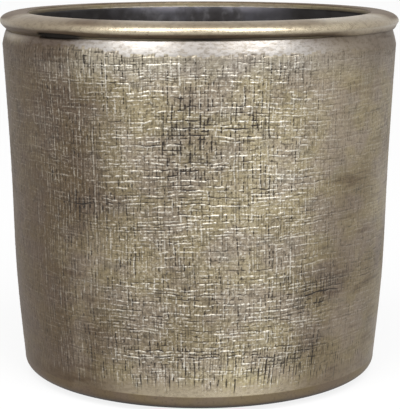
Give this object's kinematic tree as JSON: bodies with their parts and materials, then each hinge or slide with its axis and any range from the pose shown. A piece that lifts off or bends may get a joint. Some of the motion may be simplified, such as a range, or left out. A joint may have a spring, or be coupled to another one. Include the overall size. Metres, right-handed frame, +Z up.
{
  "type": "flower pot",
  "caption": "Round ceramic flower pot with a rolled rim, a slightly tapered wall impressed with coarse cloth, and pads under its foot.",
  "frame": {"origin": "on the pot's axis, in the plane of the pads' undersides, which is the surface it stands on", "axes": "+Z up along the pot's axis, out of its mouth; +X and +Y midway between neighbouring pads"},
  "size_m": [0.22, 0.22, 0.2012],
  "materials": {
    "glazed_body": "antique gold metallic glaze, satin",
    "pad_rubber": "matte"
  },
  "bodies": {
    "root": {"pot_body": "glazed_body", "foot_pad_1": "pad_rubber", "foot_pad_2": "pad_rubber", "foot_pad_3": "pad_rubber", "foot_pad_4": "pad_rubber"}
  },
  "joints": []
}
